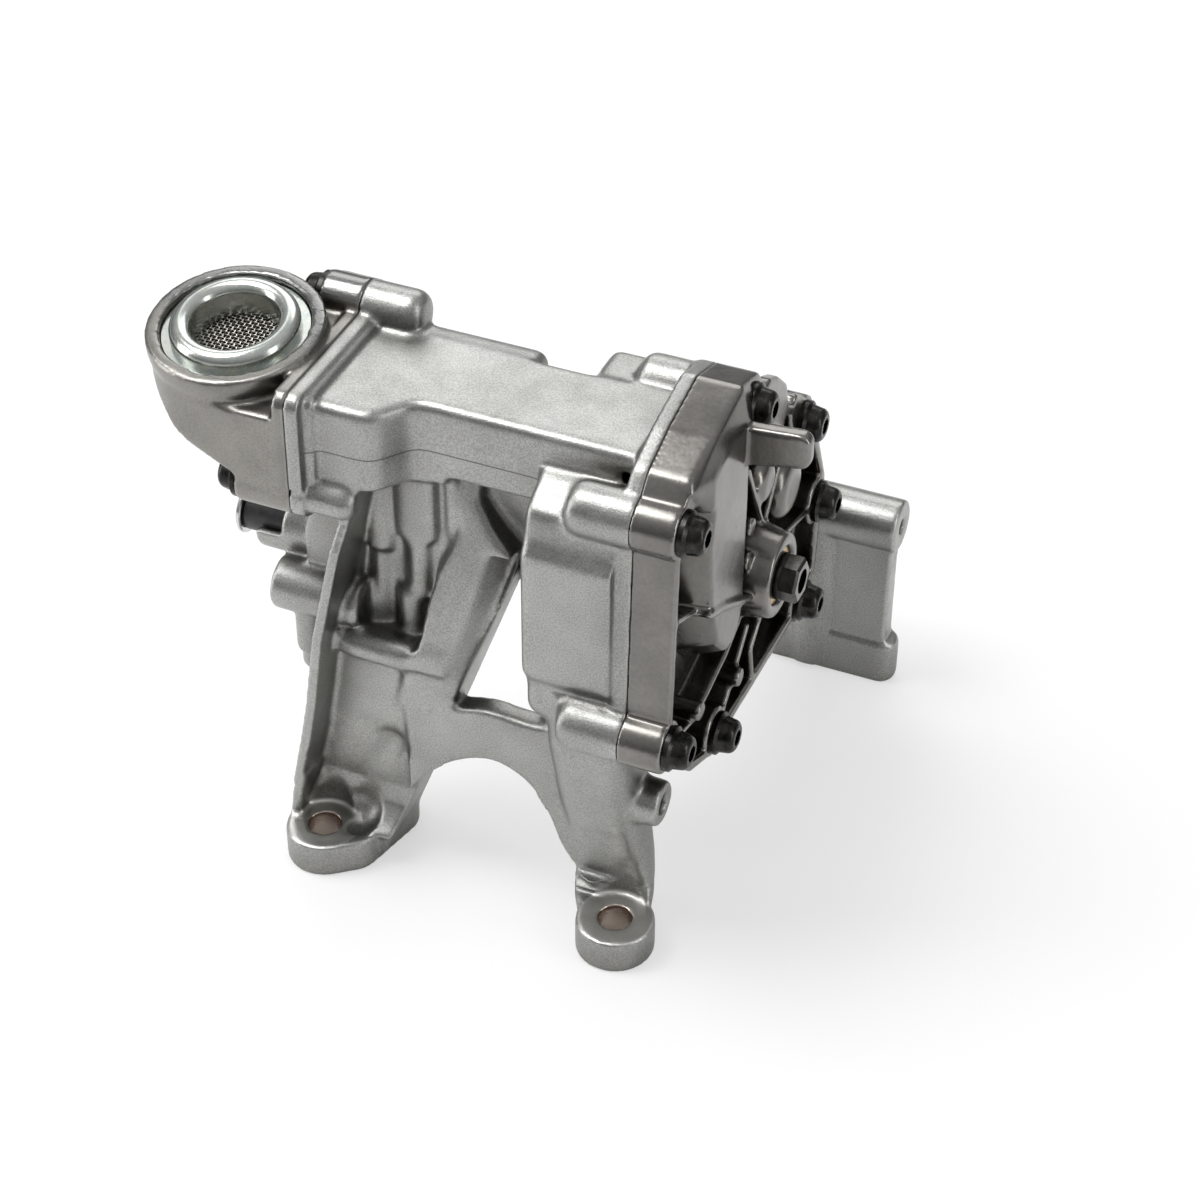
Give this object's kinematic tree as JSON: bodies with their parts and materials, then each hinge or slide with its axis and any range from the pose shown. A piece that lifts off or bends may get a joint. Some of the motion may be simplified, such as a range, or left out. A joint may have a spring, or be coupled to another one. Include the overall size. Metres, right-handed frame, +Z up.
{
  "type": "engine oil pump",
  "caption": "Cast engine oil pump on three mounting feet, with a ribbed cover, a hexagonal drive shaft, rotor set, relief valve, and a suction duct ending in a round strainer.",
  "frame": {"origin": "centre of the drive shaft's hexagonal end face", "axes": "+X along the drive shaft, out of the cover; +Z up, away from the feet; +Y from the suction duct's side towards the rear bracket"},
  "size_m": [0.197, 0.1785, 0.1883],
  "materials": {
    "cast_housing": "blasted die casting",
    "cast_cover": "smooth die casting",
    "cast_pickup": "die casting with a machined rim",
    "dark_steel": "oiled dark steel",
    "black_steel": "black zinc flake",
    "sintered_steel": "sintered and ground",
    "plain_steel": "ground",
    "zinc_steel": "bright zinc, slightly yellow",
    "wire_mesh": "woven wire",
    "bush_bronze": "plain bronze",
    "black_rubber": "moulded",
    "black_plastic": "moulded"
  },
  "bodies": {
    "pump": {"housing": "cast_housing", "pump_cover": "cast_cover", "front_bush": "bush_bronze", "rear_bush": "bush_bronze", "cover_screws": "black_steel", "cover_sleeves": "plain_steel", "foot_dowel": "dark_steel", "valve_stem": "plain_steel", "valve_seal": "black_rubber", "valve_collar": "black_plastic", "valve_cap": "plain_steel", "gallery_plug": "plain_steel", "pickup_body": "cast_pickup", "pickup_screws": "black_steel", "pickup_seal": "black_rubber", "strainer_sleeve": "zinc_steel", "strainer_screen": "wire_mesh", "relief_spring": "plain_steel"},
    "drive": {"drive_shaft": "dark_steel", "shaft_key": "dark_steel", "inner_rotor": "sintered_steel"},
    "ring": {"outer_rotor": "sintered_steel"},
    "piston": {"relief_piston": "plain_steel"}
  },
  "joints": [
    {"name": "drive_spin", "type": "hinge", "parent": "pump", "child": "drive", "pos_m": [0, 0, 0], "axis": [1, 0, 0], "continuous": true},
    {"name": "outer_spin", "type": "hinge", "parent": "pump", "child": "ring", "pos_m": [-0.0386, 0, -0.0036], "axis": [1, 0, 0], "continuous": true},
    {"name": "relief_slide", "type": "slide", "parent": "pump", "child": "piston", "axis": [-1, 0, 0], "range_m": [0, 0.007], "stiffness_N_per_m": 4000, "springref_m": -0.004, "deforming": ["relief_spring"]}
  ],
  "couplings": [
    {"joint": "outer_spin", "follows": "drive_spin", "ratio": 0.85714}
  ]
}
